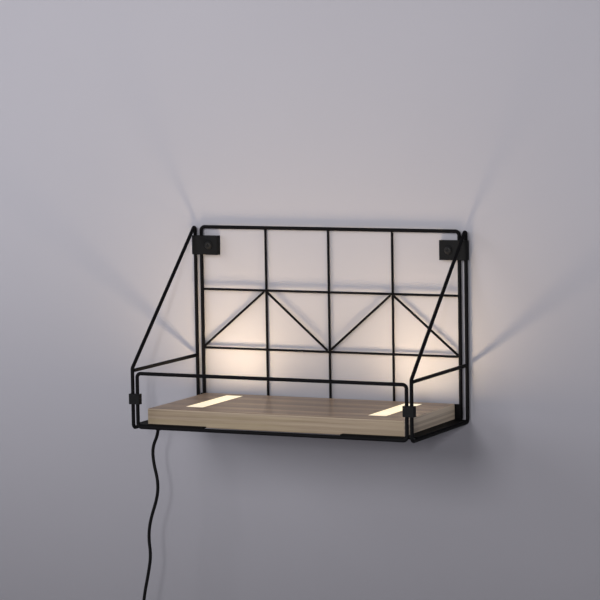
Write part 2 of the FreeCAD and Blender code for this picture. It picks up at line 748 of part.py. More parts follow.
# ---- coil -----------------------------------------------------------------------------------
def coil_point(turn):
    """A place on the coil's centre line, after so many turns from its start at the left."""
    per_layer = coil_turns / coil_layers
    layer = min(max(math.floor(turn / per_layer), 0), coil_layers - 1)
    share = turn / per_layer - layer
    if layer % 2:
        share = 1 - share
    radius = coil_outer_r - (coil_outer_r - coil_inner_r) * share
    depth = 0.0
    for climb in range(1, coil_layers):
        past = min(max(turn - climb * per_layer, -0.25), 0.25)
        depth += 0.5 * (1 + math.sin(2 * math.pi * past))
    angle = math.pi + 2 * math.pi * turn
    across = radius * math.cos(angle)
    up = radius * math.sin(angle)
    return V(coil_x + across, line_y + depth * coil_pitch, coil_z + up)


def coil_heading(turn):
    step = 0.01
    return (coil_point(turn + step) - coil_point(turn - step)).normalize()


def biarc(start, heading, end, end_heading):
    """Two arcs from start to end with the given headings, tangent where they meet."""
    span = end - start
    both = heading + end_heading
    bend = 2 * (1 - heading.dot(end_heading))
    along = span.dot(both)
    leg = (math.sqrt(along ** 2 + bend * span.dot(span)) - along) / bend
    first = start + heading * leg
    second = end - end_heading * leg
    joint = (first + second) * 0.5
    return [tangent_arc(start, first, joint), tangent_arc(joint, second, end)]


def coil_solid():
    """The put-away cord: one unbroken tube, four flat spirals that run in and out by turns."""
    quarters = [q / 4 for q in range(4 * coil_turns + 1)]
    places = [coil_point(t) for t in quarters]
    headings = [coil_heading(t) for t in quarters]
    headings[0] = V(0, 0, -1)
    headings[-1] = V(0, 0, -1)
    lead_in = places[0] - headings[0] * cord_d
    lead_out = places[-1] + headings[-1] * cord_d
    edges = [Part.LineSegment(lead_in, places[0]).toShape()]
    for a, ta, b, tb in zip(places, headings, places[1:], headings[1:]):
        edges += biarc(a, ta, b, tb)
    edges.append(Part.LineSegment(places[-1], lead_out).toShape())
    tube = swept(edges, cord_r, lead_in, headings[0])
    length = sum(e.Length for e in edges)
    ratio = tube.Volume / (math.pi * cord_r ** 2 * length)
    print("cord_coil length", round(length, 1), "volume ratio", round(ratio, 5))
    print("cord_coil least gap to itself", round(coil_gap(), 2))
    return tube


def coil_gap():
    """Least clear distance between turns, measured on points of the centre line."""
    steps = 48
    points = [coil_point(i / steps) for i in range(coil_turns * steps + 1)]
    least = 1e9
    for i, p in enumerate(points):
        for q in points[i + steps // 2:]:
            least = min(least, (p - q).Length)
    return least - cord_d


def coil_tie():
    """A soft strap round all the turns at the side where the cord comes in and goes out."""
    outer_x = coil_x - coil_outer_r - cord_r - tie_gap
    inner_x = coil_x - coil_inner_r + cord_r + tie_gap
    front = line_y - cord_r - tie_gap
    back = tail_y + cord_r + tie_gap
    half = tie_height / 2
    band = rounded_box(outer_x - tie_thick, inner_x + tie_thick, front - tie_thick, back + tie_thick,
                       coil_z - half, coil_z + half, tie_round, V(0, 0, 1))
    return band.cut(box(outer_x, inner_x, front, back, coil_z - half, coil_z + half))


# ---- plug with its power supply -------------------------------------------------------------
def adapter_shell(front):
    """Half of the power supply's case; the back half carries the two plug pins."""
    shell = half_case(adapter_width, adapter_front_y, adapter_back_y, adapter_bottom_z, adapter_top_z,
                      adapter_wall, adapter_round, adapter_rim_r, front)
    shell = shell.cut(collar_hole(tail_y, adapter_z, adapter_top_z + 1))
    if not front:
        for x in pin_places():
            inside = V(x, adapter_back_y - 2 * adapter_wall, adapter_z)
            outside = V(x, adapter_back_y + adapter_wall, adapter_z)
            shell = shell.cut(straight_rod(inside, outside, sleeve_r + seat_gap))
    return shell.removeSplitter()


def pin_places():
    return (line_x - pin_spacing / 2, line_x + pin_spacing / 2)


def plug_pins():
    """Two round-ended pins, each with a thinner shank inside its sleeve."""
    pins = []
    for x in pin_places():
        root = V(x, adapter_back_y - pin_root, adapter_z)
        shank = Part.makeCylinder(pin_shank_r, pin_root + sleeve_length, root, V(0, 1, 0))
        tip_y = adapter_back_y + sleeve_length
        tip = Part.makeCylinder(pin_r, pin_length - sleeve_length, V(x, tip_y, adapter_z), V(0, 1, 0))
        end = [e for e in tip.Edges if abs(e.BoundBox.YMin - adapter_back_y - pin_length) < 1e-6]
        pins.append(shank.fuse(tip.makeFillet(pin_tip_round, end)).removeSplitter())
    return Part.makeCompound(pins)


def pin_sleeves():
    sleeves = []
    for x in pin_places():
        start = V(x, adapter_back_y - adapter_wall, adapter_z)
        length = adapter_wall + sleeve_length - seat_gap
        sleeve = Part.makeCylinder(sleeve_r, length, start, V(0, 1, 0))
        sleeves.append(sleeve.cut(Part.makeCylinder(pin_shank_r + seat_gap, length, start, V(0, 1, 0))))
    return Part.makeCompound(sleeves)


def adapter_board():
    """Circuit board of the power supply, held between the side walls of its case."""
    half_w = adapter_width / 2 - adapter_wall - seat_gap
    low = adapter_bottom_z + adapter_wall + seat_gap
    return box(line_x - half_w, line_x + half_w, power_board_y, power_board_y + power_board_thick,
               low, low + power_board_length)


def adapter_transformer():
    half = transformer_size / 2
    return rounded_box(line_x - half, line_x + half, power_board_y - transformer_height, power_board_y,
                       transformer_z - half, transformer_z + half, transformer_round, V(0, 1, 0))


def adapter_capacitor():
    return Part.makeCylinder(capacitor_r, capacitor_height,
                             V(line_x, power_board_y - capacitor_height, capacitor_z), V(0, 1, 0))


# ---- build ----------------------------------------------------------------------------------
def build_frames():
    save("panel_frame", rectangle_loop(panel_x, panel_y, bottom_wire_z, panel_top_z))
    save("front_frame", rectangle_loop(front_x, front_y, front_bottom_z, front_top_z))
    save("grid_upright_middle", grid_upright(0))
    save_pair("grid_upright", grid_upright(grid_pitch))
    save("grid_crosswire_upper", grid_crosswire(upper_cross_z))
    save("grid_crosswire_lower", grid_crosswire(lower_cross_z))
    save_pair("grid_brace_outer", grid_brace(panel_x - frame_r - weld_gap, grid_pitch + grid_r))
    save_pair("grid_brace_inner", grid_brace(grid_r, grid_pitch - grid_r))
    save_pair("side_frame", side_frame())
    save_pair("side_rail", side_rail())
    save_pair("front_clip", front_clip())
    save_pair("wall_bracket", wall_bracket())


def build_shelf():
    save("shelf_board", shelf_board())
    save_pair("diffuser", diffuser())
    save_pair("led_board", led_board())
    save_pair("led_chips", led_chips())
    save("end_plate_right", end_plate())
    save("end_plate_left", mirrored(end_plate()).cut(cord_hole()))
    screws = [screw_shape(side * x, y, 0) for side in (-1, 1) for x, y in plate_screw_places()]
    save("plate_screws", Part.makeCompound(screws))
    save("link_lead", link_lead())
    save("groove_cover", groove_cover())
    save("cord_bushing", cord_bushing())
    save("inner_lead", inner_lead())


def build_cord():
    save("cord_upper", cord_tube("cord_upper", [inlet + V(*p) for p in cord_points], cord_r))
    below_switch = V(line_x, line_y, switch_bottom_z + cord_in_switch)
    coil_start = V(line_x, line_y, coil_z + cord_d)
    save("cord_lower", cord_tube("cord_lower", [below_switch, coil_start], cord_r))
    save("cord_coil", coil_solid())
    save("coil_tie", coil_tie())
    coil_end = V(line_x, tail_y, coil_z - cord_d)
    in_adapter = V(line_x, tail_y, adapter_top_z - cord_in_adapter)
    save("cord_tail", cord_tube("cord_tail", [coil_end, in_adapter], cord_r))
    save("switch_front_shell", switch_shell(True))
    save("switch_back_shell", switch_shell(False))
    save("switch_rocker", switch_rocker())
    save("switch_contacts", switch_contacts())
    save("switch_screws", Part.makeCompound([switch_screw(z, 0) for z in switch_screw_heights()]))
    collars = [relief(switch_top_z, 1, line_y, switch_wall), relief(switch_bottom_z, -1, line_y, switch_wall)]
    save("switch_reliefs", Part.makeCompound(collars))
    save("adapter_front_shell", adapter_shell(True))
    save("adapter_back_shell", adapter_shell(False))
    save("adapter_relief", relief(adapter_top_z, 1, tail_y, adapter_wall))
    save("adapter_board", adapter_board())
    save("adapter_transformer", adapter_transformer())
    save("adapter_capacitor", adapter_capacitor())
    save("plug_pins", plug_pins())
    save("pin_sleeves", pin_sleeves())


os.makedirs("parts", exist_ok=True)
build_frames()
build_shelf()
build_cord()
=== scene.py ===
import json
import math

import bpy
import numpy as np
from mathutils import Matrix, Vector


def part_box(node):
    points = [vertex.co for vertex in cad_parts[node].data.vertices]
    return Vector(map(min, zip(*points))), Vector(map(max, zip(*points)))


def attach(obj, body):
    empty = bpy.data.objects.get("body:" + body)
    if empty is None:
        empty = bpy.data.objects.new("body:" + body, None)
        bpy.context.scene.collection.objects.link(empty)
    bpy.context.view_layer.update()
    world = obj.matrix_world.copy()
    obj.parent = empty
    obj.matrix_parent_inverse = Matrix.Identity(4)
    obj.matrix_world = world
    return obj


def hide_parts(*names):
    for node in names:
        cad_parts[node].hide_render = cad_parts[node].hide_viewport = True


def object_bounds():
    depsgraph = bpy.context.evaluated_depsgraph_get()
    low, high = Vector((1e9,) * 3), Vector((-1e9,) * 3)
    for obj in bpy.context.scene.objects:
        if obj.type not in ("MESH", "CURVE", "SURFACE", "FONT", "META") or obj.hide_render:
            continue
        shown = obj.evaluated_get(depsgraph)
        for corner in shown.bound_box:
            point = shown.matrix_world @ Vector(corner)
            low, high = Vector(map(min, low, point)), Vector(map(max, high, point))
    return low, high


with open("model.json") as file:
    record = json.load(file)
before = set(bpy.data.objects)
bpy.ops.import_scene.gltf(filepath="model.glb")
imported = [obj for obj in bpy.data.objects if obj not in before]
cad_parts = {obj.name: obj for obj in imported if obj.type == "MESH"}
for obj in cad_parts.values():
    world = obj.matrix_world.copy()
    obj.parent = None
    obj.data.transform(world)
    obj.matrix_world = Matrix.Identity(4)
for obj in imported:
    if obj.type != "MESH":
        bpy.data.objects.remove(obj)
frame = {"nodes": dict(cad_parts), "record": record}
cad_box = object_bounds()
nodes = frame["nodes"]

MM = 0.001

# ---- sizes read from the frame --------------------------------------------------------------
board_low, board_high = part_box("shelf_board")
diffuser_low, diffuser_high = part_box("diffuser_right")
coil_low, coil_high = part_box("cord_coil")
switch_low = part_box("switch_front_shell")[0]
tail_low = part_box("cord_tail")[0]
bracket_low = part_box("wall_bracket_right")[0]


# ---- shader expressions ---------------------------------------------------------------------
class Field:
    """A number that varies over a surface; arithmetic on it adds Math nodes."""

    def __init__(self, paint, socket):
        self.paint = paint
        self.socket = socket

    def math(self, operation, *others):
        values = dict(enumerate((self, *others)))
        return self.paint.node("ShaderNodeMath", {"operation": operation}, values)

    def __add__(self, other):
        return self.math("ADD", other)

    __radd__ = __add__

    def __sub__(self, other):
        return self.math("SUBTRACT", other)

    def __rsub__(self, other):
        return self.paint.node("ShaderNodeMath", {"operation": "SUBTRACT"}, {0: other, 1: self})

    def __mul__(self, other):
        return self.math("MULTIPLY", other)

    def __truediv__(self, other):
        return self.math("DIVIDE", other)

    def __pow__(self, other):
        return self.math("POWER", other)

    def sine(self):
        return self.math("SINE")

    def size(self):
        return self.math("ABSOLUTE")

    def step(self, low, high):
        """0 below low, 1 above high, smooth between."""
        return self.paint.node("ShaderNodeMapRange", {"interpolation_type": "SMOOTHSTEP", "clamp": True},
                               {"Value": self, "From Min": low, "From Max": high})


class Paint:
    """A material under construction: its Principled shader and the nodes that feed it."""

    def __init__(self, name, **constants):
        self.material = bpy.data.materials.new(name)
        self.material.use_nodes = True
        self.tree = self.material.node_tree
        self.tree.nodes.clear()
        self.output = self.tree.nodes.new("ShaderNodeOutputMaterial")
        self.shader = self.tree.nodes.new("ShaderNodeBsdfPrincipled")
        self.tree.links.new(self.shader.outputs[0], self.output.inputs["Surface"])
        self.set(**constants)

    def feed(self, socket, value):
        if isinstance(value, Field):
            self.tree.links.new(value.socket, socket)
        elif socket.type == "RGBA" and len(value) == 3:
            socket.default_value = (*value, 1.0)
        else:
            socket.default_value = value

    def node(self, kind, settings=None, values=None, out=0):
        """Adds a node: its settings first, then the values or links of its sockets."""
        made = self.tree.nodes.new(kind)
        for key, value in (settings or {}).items():
            if key == "stops":
                self.set_stops(made.color_ramp, value)
            else:
                setattr(made, key, value)
        for key, value in (values or {}).items():
            self.feed(made.inputs[key], value)
        return Field(self, made.outputs[out])

    def set_stops(self, ramp, stops):
        while len(ramp.elements) < len(stops):
            ramp.elements.new(1.0)
        for element, (place, colour) in zip(ramp.elements, stops):
            element.position = place
            element.color = (*colour, 1.0)

    def place(self, scale=(1, 1, 1)):
        """Object coordinates in metres, stretched."""
        here = self.node("ShaderNodeTexCoord", out="Object")
        return self.node("ShaderNodeMapping", {"vector_type": "POINT"}, {"Vector": here, "Scale": scale})

    def axis(self, name):
        """One of the object coordinates, in metres."""
        here = self.node("ShaderNodeTexCoord", out="Object")
        return self.node("ShaderNodeSeparateXYZ", values={0: here}, out=name)

    def facing(self, name):
        """How far the surface faces along one axis, from -1 to 1."""
        across = self.node("ShaderNodeNewGeometry", out="True Normal")
        return self.node("ShaderNodeSeparateXYZ", values={0: across}, out=name)

    def noise(self, scale, detail=3.0, rough=0.55, warp=0.0):
        """Noise from 0 to 1; scale is in features per metre, one number or three."""
        steps = scale if isinstance(scale, tuple) else (scale,) * 3
        return self.node("ShaderNodeTexNoise", None,
                         {"Vector": self.place(steps), "Scale": 1.0, "Detail": detail,
                          "Roughness": rough, "Distortion": warp})

    def mix(self, factor, low, high, blend="MIX"):
        return self.node("ShaderNodeMix", {"data_type": "RGBA", "blend_type": blend},
                         {0: factor, 6: low, 7: high}, out=2)

    def grey(self, level):
        return self.node("ShaderNodeCombineColor", None, {0: level, 1: level, 2: level})

    def ramp(self, factor, *stops):
        return self.node("ShaderNodeValToRGB", {"stops": stops}, {0: factor})

    def set(self, **inputs):
        for name, value in inputs.items():
            socket = name.replace("_", " ").title().replace("Ior", "IOR")
            self.feed(self.shader.inputs[socket], value)

    def bump(self, height, depth, strength=1.0):
        """Relief: height from 0 to 1 raises the surface by depth metres."""
        relief = self.node("ShaderNodeBump", None,
                           {"Strength": strength, "Distance": depth, "Height": height})
        self.feed(self.shader.inputs["Normal"], relief)
        return self


# ---- finishes of the lamp -------------------------------------------------------------------
def powder_coat(name, dark, light, shine=0.055):
    """Matt black powder coating: orange peel about 1 mm wide under a fine dust of grain."""
    paint = Paint(name, specular_ior_level=shine)
    peel = paint.noise(950, 2.0, 0.5)
    grain = paint.noise(5200, 2.0, 0.6)
    drift = paint.noise(38, 2.0)
    paint.set(base_color=paint.mix(drift * 0.6 + grain * 0.4, dark, light),
              roughness=0.52 + peel * 0.12 + grain * 0.08)
    return paint.bump(peel * 0.7 + grain * 0.3, 0.05 * MM, 0.6).material


def moulded_plastic(name, dark, light, low_rough, grain_size=1700):
    """Moulded plastic with a fine spark-eroded grain."""
    paint = Paint(name, specular_ior_level=0.10)
    grain = paint.noise(grain_size, 3.0, 0.65)
    drift = paint.noise(60, 2.0)
    paint.set(base_color=paint.mix(drift, dark, light), roughness=low_rough + grain * 0.16)
    return paint.bump(grain, 0.03 * MM, 0.5).material


def rubber(name, dark, light):
    """Smooth flexible cover: a dull skin with faint drifts of sheen."""
    paint = Paint(name, specular_ior_level=0.07)
    drift = paint.noise(240, 2.0)
    skin = paint.noise(2600, 2.0, 0.6)
    paint.set(base_color=paint.mix(drift, dark, light), roughness=0.38 + drift * 0.10 + skin * 0.08)
    return paint.bump(skin, 0.02 * MM, 0.4).material


def metal(name, colour, worn, roughness, scratch):
    """Bare metal with short fine scratches along one direction and a little tarnish."""
    paint = Paint(name, metallic=1.0)
    lines = paint.noise(scratch, 3.0, 0.6)
    tarnish = paint.noise(260, 3.0)
    paint.set(base_color=paint.mix(tarnish.step(0.45, 0.75), colour, worn),
              roughness=roughness + lines * 0.18)
    return paint.bump(lines, 0.01 * MM, 0.4).material


face_tones = ((0.32, (0.134, 0.084, 0.049)), (0.50, (0.212, 0.137, 0.081)), (0.68, (0.290, 0.196, 0.121)))
face_pore = (0.070, 0.046, 0.034)
edge_tones = ((0.30, (0.153, 0.110, 0.073)), (0.47, (0.225, 0.173, 0.121)), (0.68, (0.296, 0.238, 0.173)))
edge_top_band = (0.42, 0.35, 0.275)
edge_knot = (0.165, 0.110, 0.070)
edge_green = (0.285, 0.235, 0.135)
# tone of the ends: partly their own colour, partly painted light
end_tone_and_painted_light = (0.68, 0.58, 0.46)
end_seam = (0.24, 0.185, 0.145)
ring_rate = 210.0         # growth rings across the face, in radians per metre
layer_rate = 19.0         # layers of the edge, in radians over the board's thickness


def board_wood():
    """Board with brown lacquered faces, the grain along X, and lighter layered edges; the ends are lighter
    still, partly their own tone and partly painted light.
    """
    paint = Paint("board_wood", specular_ior_level=0.32, coat_roughness=0.27)
    flat = paint.facing("Z").size().step(0.55, 0.8)
    height = (paint.axis("Z") - board_low.z) / (board_high.z - board_low.z)

    sway = paint.noise((5.0, 26.0, 26.0), 2.0, 0.5)
    figure = paint.axis("Y") * ring_rate + sway * 9.0
    rings = (figure.sine() * 0.5 + 0.5) ** 2.2
    fibre = paint.noise((26.0, 1300.0, 1300.0), 4.0, 0.62, 0.2)
    streak = paint.noise((9.0, 150.0, 150.0), 3.0, 0.55)
    pores = paint.noise((95.0, 2100.0, 2100.0), 2.0, 0.5).step(0.62, 0.74)
    face_tone = streak * 0.55 + fibre * 0.30 + rings * 0.15
    face = paint.ramp(face_tone, *face_tones)
    face = paint.mix(pores * 0.45, face, face_pore)

    sag = paint.noise((6.0, 6.0, 40.0), 3.0, 0.5)
    layers = ((height * layer_rate + sag * 9.0).sine() * 0.5 + 0.5) ** 1.4
    long_streak = paint.noise((11.0, 11.0, 620.0), 4.0, 0.62, 0.15)
    edge_fibre = paint.noise((70.0, 70.0, 2600.0), 3.0, 0.6)
    drift = paint.noise((9.0, 9.0, 60.0), 2.0, 0.5)
    edge_tone = long_streak * 0.46 + edge_fibre * 0.18 + layers * 0.12 + drift * 0.24
    edge = paint.ramp(edge_tone, *edge_tones)
    end = paint.facing("X").size().step(0.55, 0.8)
    # a lighter band along the top of the edge
    top_band = height.step(0.90, 0.955)
    edge = paint.mix(top_band * 0.4, edge, edge_top_band)
    knot = paint.noise((20.0, 20.0, 230.0), 3.0, 0.5).step(0.62, 0.78)
    edge = paint.mix(knot * 0.45, edge, edge_knot)
    green = paint.noise((7.0, 7.0, 150.0), 2.0, 0.5).step(0.42, 0.66)
    edge = paint.mix(green * 0.35, edge, edge_green)
    seams = paint.noise((3.0, 3.0, 330.0), 2.0, 0.5).step(0.53, 0.62)
    # the end faces take the light end tone, partly their own colour and partly painted light
    edge = paint.mix(end * 0.78, edge, end_tone_and_painted_light)
    edge = paint.mix(end * seams * 0.45, edge, end_seam)

    paint.set(base_color=paint.mix(flat, edge, face), roughness=0.46 + fibre * 0.16,
              coat_weight=flat * 0.27)
    relief = flat * (fibre * 0.5 - pores * 0.9) + (1 - flat) * (edge_fibre * 0.5 + layers * 0.4)
    return paint.bump(relief, 0.08 * MM, 0.7).material


chip_count = 10
cover_half_width = 9.3 * MM
front_fade = 16 * MM      # the glow turns warmer over this length at the front end
glow_bright = (1.0, 0.89, 0.62)
glow_rim = (0.98, 0.79, 0.50)
glow_front = (1.0, 0.78, 0.58)
cover_emission = 0.83


def opal_cover():
    """Opal cover lit from inside: a warm even glow with a faint row of spots over the chips."""
    paint = Paint("opal_cover", specular_ior_level=0.4, roughness=0.38)
    length = diffuser_high.y - diffuser_low.y
    along = (paint.axis("Y") - diffuser_low.y) / length
    spots = (along * (2 * math.pi * chip_count)).sine() * 0.5 + 0.5
    off_middle = paint.axis("X").size() - (diffuser_low.x + diffuser_high.x) / 2
    rim = (off_middle.size() / cover_half_width).step(0.62, 1.0)
    front = (paint.axis("Y") * -1.0 + diffuser_low.y + front_fade) / front_fade
    glow = paint.mix(spots * 0.08 + rim * 0.4, glow_bright, glow_rim)
    glow = paint.mix(front.step(0.0, 1.0) * 0.6, glow, glow_front)
    haze = paint.noise(600, 2.0)
    paint.set(base_color=paint.mix(haze, (0.30, 0.28, 0.25), (0.34, 0.32, 0.28)),
              emission_color=glow, emission_strength=cover_emission)
    return paint.bump(haze, 0.01 * MM, 0.3).material


def circuit_board():
    """White solder mask with faint raised tracks."""
    paint = Paint("circuit_board", specular_ior_level=0.5)
    tracks = paint.node("ShaderNodeTexBrick", {"offset": 0.5},
                        {"Vector": paint.place(), "Scale": 190.0, "Mortar Size": 0.06}, out="Fac")
    mottle = paint.noise(420, 2.0)
    white = paint.mix(mottle, (0.74, 0.75, 0.72), (0.82, 0.82, 0.79))
    paint.set(base_color=paint.mix(tracks * 0.3, white, (0.55, 0.60, 0.50)), roughness=0.36 + mottle * 0.1)
    return paint.bump(tracks, 0.04 * MM, 0.6).material


def led_phosphor():
    """Yellow phosphor of the lit chips."""
    paint = Paint("led_phosphor", specular_ior_level=0.6, roughness=0.3)
    speckle = paint.noise(5200, 2.0)
    paint.set(base_color=paint.mix(speckle, (0.86, 0.62, 0.12), (0.93, 0.76, 0.24)),
              emission_color=(1.0, 0.88, 0.62), emission_strength=0.5)
    return paint.bump(speckle, 0.02 * MM, 0.5).material


def wear_finishes():
    """Gives every node of the frame the finish of its slot."""
    finishes = {
        "black_wire": powder_coat("wire_coating", (0.0026, 0.0025, 0.0031), (0.0052, 0.0050, 0.0058)),
        "black_sheet": powder_coat("sheet_coating", (0.0035, 0.0035, 0.0038), (0.0065, 0.0064, 0.0068), 0.02),
        "shelf_wood": board_wood(),
        "opal": opal_cover(),
        "circuit_board": circuit_board(),
        "led_chip": led_phosphor(),
        "black_plastic": moulded_plastic("black_plastic", (0.0040, 0.0041, 0.0047), (0.0070, 0.0071, 0.0079),
                                         0.54),
        "black_gloss_plastic": moulded_plastic("rocker_plastic", (0.009, 0.009, 0.010), (0.014, 0.014, 0.015),
                                               0.22, 3000),
        "cord_cover": rubber("cord_cover", (0.0020, 0.0020, 0.0024), (0.0040, 0.0040, 0.0044)),
        "soft_black": rubber("soft_black", (0.013, 0.013, 0.013), (0.020, 0.020, 0.020)),
        "screw_black": moulded_plastic("screw_black", (0.013, 0.013, 0.014), (0.020, 0.020, 0.021),
                                       0.40, 2600),
        "screw_steel": metal("screw_steel", (0.50, 0.50, 0.51), (0.36, 0.35, 0.34), 0.28,
                             (900.0, 900.0, 90.0)),
        "brass": metal("contact_brass", (0.72, 0.52, 0.22), (0.50, 0.34, 0.14), 0.26, (1500.0, 200.0, 200.0)),
        "pin_metal": metal("pin_nickel", (0.70, 0.68, 0.64), (0.55, 0.52, 0.47), 0.16, (900.0, 90.0, 900.0)),
    }
    for part in frame["record"]["subparts"]:
        node = nodes[part["node"]]
        node.data.materials.clear()
        node.data.materials.append(finishes[part["material_slot"]])
    return finishes


finishes = wear_finishes()


# ---- meshes from arrays ---------------------------------------------------------------------
def ring_mesh(name, points):
    """A closed mesh over rings of points, points[ring, place], with a cap on the first and last ring."""
    rings, places = points.shape[:2]
    index = np.arange(rings * places).reshape(rings, places)
    here, beyond = index[:-1], index[1:]
    quads = np.stack([here, np.roll(here, -1, axis=1), np.roll(beyond, -1, axis=1), beyond], axis=-1)
    faces = quads.reshape(-1, 4).tolist()
    faces.append(index[0][::-1].tolist())
    faces.append(index[-1].tolist())
    mesh = bpy.data.meshes.new(name)
    mesh.from_pydata(points.reshape(-1, 3).tolist(), [], faces)
    mesh.shade_smooth()
    return mesh


def show(name, data):
    """Puts an object for a mesh, curve, light or camera in the scene."""
    obj = bpy.data.objects.new(name, data)
    bpy.context.scene.collection.objects.link(obj)
    return obj


def piece(name, mesh, finish):
    obj = show(name, mesh)
    mesh.materials.append(finishes[finish])
    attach(obj, "lamp")
    return obj


# ---- wall screws ----------------------------------------------------------------------------
screw_head_r = 3.9 * MM
screw_head_h = 2.3 * MM
head_rim_share = 0.42     # height of the head at its rim, as a share of the whole
recess_r = 2.1 * MM
recess_depth = 1.3 * MM
recess_fade = 0.5 * MM    # the arms of the cross run out over this length
arm_half = 0.52 * MM
arm_slope = 0.18 * MM     # width of an arm's sloped side
arm_rim_share = 0.55      # depth of the recess towards the rim, as a share of its depth at the middle
ring_count = 30
ring_places = 96
hole_to_end = 9.8 * MM    # the screw to the bracket's end


def wall_screw(name, x):
    """A pan-head screw with a cross recess.

    Rings run over the head from its middle, and the last one stands on the bracket.  The dome falls with
    the fourth power of the radius.  The recess is full where the nearest arm of the cross is closer than
    its half width."""
    rings = np.concatenate([np.linspace(0.02, 0.92, ring_count), np.array([0.96, 0.985, 1.0, 1.0])])
    angles = np.linspace(0, 2 * np.pi, ring_places, endpoint=False)
    r, a = np.meshgrid(rings * screw_head_r, angles, indexing="ij")
    across, up = r * np.cos(a), r * np.sin(a)
    share = r / screw_head_r
    height = screw_head_h * (head_rim_share + (1 - head_rim_share) * (1 - share ** 4))
    height[-1] = 0.0
    arm = np.minimum(np.abs(across), np.abs(up))
    fade = np.clip((recess_r - r) / recess_fade, 0, 1)
    cut = np.clip((arm_half - arm) / arm_slope, 0, 1) * fade
    cut[-1] = 0.0
    height = height - recess_depth * cut * (arm_rim_share + (1 - arm_rim_share) * (1 - share))
    points = np.stack([x + across, bracket_low.y - height, up], axis=-1)
    mesh = ring_mesh(name, points)
    mesh.flip_normals()
    return piece(name, mesh, "screw_black")


for side, word in ((-1, "left"), (1, "right")):
    wall_screw("wall_screw_" + word, side * (bracket_low.x + hole_to_end))

# ---- cord -----------------------------------------------------------------------------------
cord_d = 3.2 * MM
inlet = Vector((-132.5, -121.0, -167.5)) * MM
cord_points = [           # upper cord, counted from the place where it starts
    (0.0, 0.0, 0.0),
    (0.0, 0.0, -9.5),
    (-6.4, -1.2, -23.5),
    (-5.1, -2.2, -38.5),
    (0.2, -3.4, -56.5),
    (-0.2, -4.2, -72.5),
    (-8.4, -5.5, -96.5),
    (-10.1, -6.4, -113.5),
    (-7.2, -7.6, -130.5),
    (-9.5, -8.8, -147.5),
    (-14.5, -10.0, -171.5),
    (-15.5, -10.4, -185.5),
    (-15.5, -10.4, -197.5),
]
coil_turns = 11
coil_layers = 4
coil_mid_r = 17.5 * MM
coil_pitch = 3.65 * MM    # from turn to turn, and from layer to layer
turn_steps = 16           # control points in a turn
coil_lead = 7.0 * MM      # straight ends stop this far from the height of the coil's centre
cord_in_switch = 4.0 * MM


def cord_curve(name, points):
    """One open NURBS spline of order 3 through its ends, with a round section.

    The bevel is a unit circle, which each point scales to the cord's radius."""
    curve = bpy.data.curves.new(name, "CURVE")
    curve.dimensions = "3D"
    curve.bevel_depth = 1.0
    curve.bevel_resolution = 6
    curve.resolution_u = 8
    curve.use_fill_caps = True
    spline = curve.splines.new("NURBS")
    spline.points.add(len(points) - 1)
    for place, point in zip(spline.points, points):
        place.co = (*point, 1.0)
        place.radius = cord_d / 2
    spline.order_u = 3
    spline.use_endpoint_u = True
    obj = show(name, curve)
    curve.materials.append(finishes["cord_cover"])
    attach(obj, "lamp")
    return obj


def spline_length(obj):
    """Length along the curve's own line."""
    bevel = obj.data.bevel_depth
    obj.data.bevel_depth = 0.0
    bpy.context.view_layer.update()
    line = bpy.data.meshes.new_from_object(obj.evaluated_get(bpy.context.evaluated_depsgraph_get()))
    obj.data.bevel_depth = bevel
    spots = [v.co for v in line.vertices]
    return sum((b - a).length for a, b in zip(spots, spots[1:]))


def coil_points(start_x, front_y, centre_z):
    """Flat spirals that run in and out by turns, one behind the other.

    The radius swings between its two limits at a steady rate, and the depth climbs one pitch in the half
    turn centred on each reversal.  The spline runs inside its control points, so these stand out by
    1 / (0.75 + 0.25 cos(step))."""
    per_layer = coil_turns / coil_layers
    swing = per_layer * coil_pitch / 2
    centre_x = start_x + coil_mid_r + swing
    outward = 1 / (0.75 + 0.25 * math.cos(2 * math.pi / turn_steps))
    turn = np.arange(0, coil_turns * turn_steps + 1) / turn_steps
    layer = np.minimum(np.floor(turn / per_layer), coil_layers - 1)
    share = turn / per_layer - layer
    share = np.where(layer % 2 == 1, 1 - share, share)
    radius = (coil_mid_r + swing * (1 - 2 * share)) * outward
    depth = np.zeros_like(turn)
    for climb in range(1, coil_layers):
        past = np.clip(turn - climb * per_layer, -0.25, 0.25)
        depth += 0.5 * (1 + np.sin(2 * np.pi * past))
    angle = np.pi + 2 * np.pi * turn
    places = np.stack([centre_x + radius * np.cos(angle), front_y + depth * coil_pitch,
                       centre_z + radius * np.sin(angle)], axis=-1)
    return [Vector(p) for p in places]


upper_route = [inlet + Vector(p) * MM for p in cord_points]
line_x, line_y = upper_route[-1].x, upper_route[-1].y
coil_z = (coil_low.z + coil_high.z) / 2
lower_start = Vector((line_x, line_y, switch_low.z + cord_in_switch))
tail_y = line_y + (coil_layers - 1) * coil_pitch
tail_end = Vector((line_x, tail_y, tail_low.z))
turns = coil_points(line_x, line_y, coil_z)
lower_route = [lower_start, Vector((line_x, line_y, (lower_start.z + coil_z) / 2)),
               Vector((line_x, line_y, coil_z + coil_lead))]
tail_route = [Vector((line_x, tail_y, coil_z - coil_lead)),
              Vector((line_x, tail_y, (tail_end.z + coil_z) / 2)), tail_end]

upper_cord = cord_curve("power_cord_upper", upper_route)
lower_cord = cord_curve("power_cord_coiled", lower_route + turns + tail_route)
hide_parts("cord_upper")
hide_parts("cord_lower", "cord_coil", "cord_tail")
spline_length(upper_cord)
spline_length(lower_cord)


